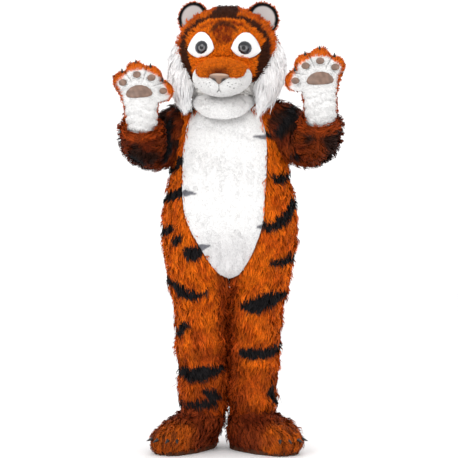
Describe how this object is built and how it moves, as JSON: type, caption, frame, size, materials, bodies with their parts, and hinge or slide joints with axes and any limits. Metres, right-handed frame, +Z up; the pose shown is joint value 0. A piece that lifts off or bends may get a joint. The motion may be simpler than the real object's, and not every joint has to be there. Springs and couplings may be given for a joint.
{
  "type": "worn tiger mascot costume",
  "caption": "Hollow tiger mascot costume in its worn pose: big head, furry body suit with a back zip, arms raised in paw mitts, paw boots.",
  "frame": {"origin": "on the wearer's shoulders, in the middle of the body, 1.430 m above the floor", "axes": "+Z up, the costume faces -Y, its left arm is towards +X"},
  "size_m": [0.9358, 0.5481, 1.867],
  "materials": {
    "orange_fur": "long fur pile",
    "dark_fur": "long fur pile",
    "white_plush": "short plush",
    "white_fur": "long fur pile",
    "brown_vinyl": "satin vinyl",
    "black_claw": "satin",
    "eye_plastic": "glossy",
    "sole_foam": "matte foam",
    "zip_tape": "woven tape",
    "zip_metal": "plated"
  },
  "bodies": {
    "costume": {"back_left": "orange_fur", "back_right": "orange_fur", "belly": "white_plush", "bib": "white_plush", "boot_left": "dark_fur", "boot_right": "dark_fur", "claw_boot_1_left": "black_claw", "claw_boot_1_right": "black_claw", "claw_boot_2_left": "black_claw", "claw_boot_2_right": "black_claw", "claw_boot_3_left": "black_claw", "claw_boot_3_right": "black_claw", "claw_boot_4_left": "black_claw", "claw_boot_4_right": "black_claw", "claw_index_left": "black_claw", "claw_index_right": "black_claw", "claw_little_left": "black_claw", "claw_little_right": "black_claw", "claw_middle_left": "black_claw", "claw_middle_right": "black_claw", "claw_thumb_left": "black_claw", "claw_thumb_right": "black_claw", "ear_back_left": "orange_fur", "ear_back_right": "orange_fur", "ear_front_left": "white_plush", "ear_front_right": "white_plush", "eye_left": "eye_plastic", "eye_patch_left": "white_plush", "eye_patch_right": "white_plush", "eye_right": "eye_plastic", "front_left": "orange_fur", "front_right": "orange_fur", "head_back": "orange_fur", "head_face": "orange_fur", "mitt_back_left": "orange_fur", "mitt_back_right": "orange_fur", "mitt_palm_left": "white_plush", "mitt_palm_right": "white_plush", "muzzle": "white_plush", "muzzle_bridge": "orange_fur", "nose": "brown_vinyl", "pad_index_left": "brown_vinyl", "pad_index_right": "brown_vinyl", "pad_little_left": "brown_vinyl", "pad_little_right": "brown_vinyl", "pad_main_left": "brown_vinyl", "pad_main_right": "brown_vinyl", "pad_middle_left": "brown_vinyl", "pad_middle_right": "brown_vinyl", "pad_thumb_left": "brown_vinyl", "pad_thumb_right": "brown_vinyl", "ruff_left": "white_fur", "ruff_right": "white_fur", "sleeve_left": "dark_fur", "sleeve_right": "dark_fur", "sole_left": "sole_foam", "sole_right": "sole_foam", "zip_slider": "zip_metal", "zip_tape": "zip_tape"},
    "pull_tab": {"zip_pull": "zip_metal"}
  },
  "joints": [
    {"name": "pull_tab_swing", "type": "hinge", "parent": "costume", "child": "pull_tab", "pos_m": [0.02564, 0.12064, -0.05412], "axis": [0.9781, -0.2079, 0], "range_deg": [0, 170]}
  ]
}
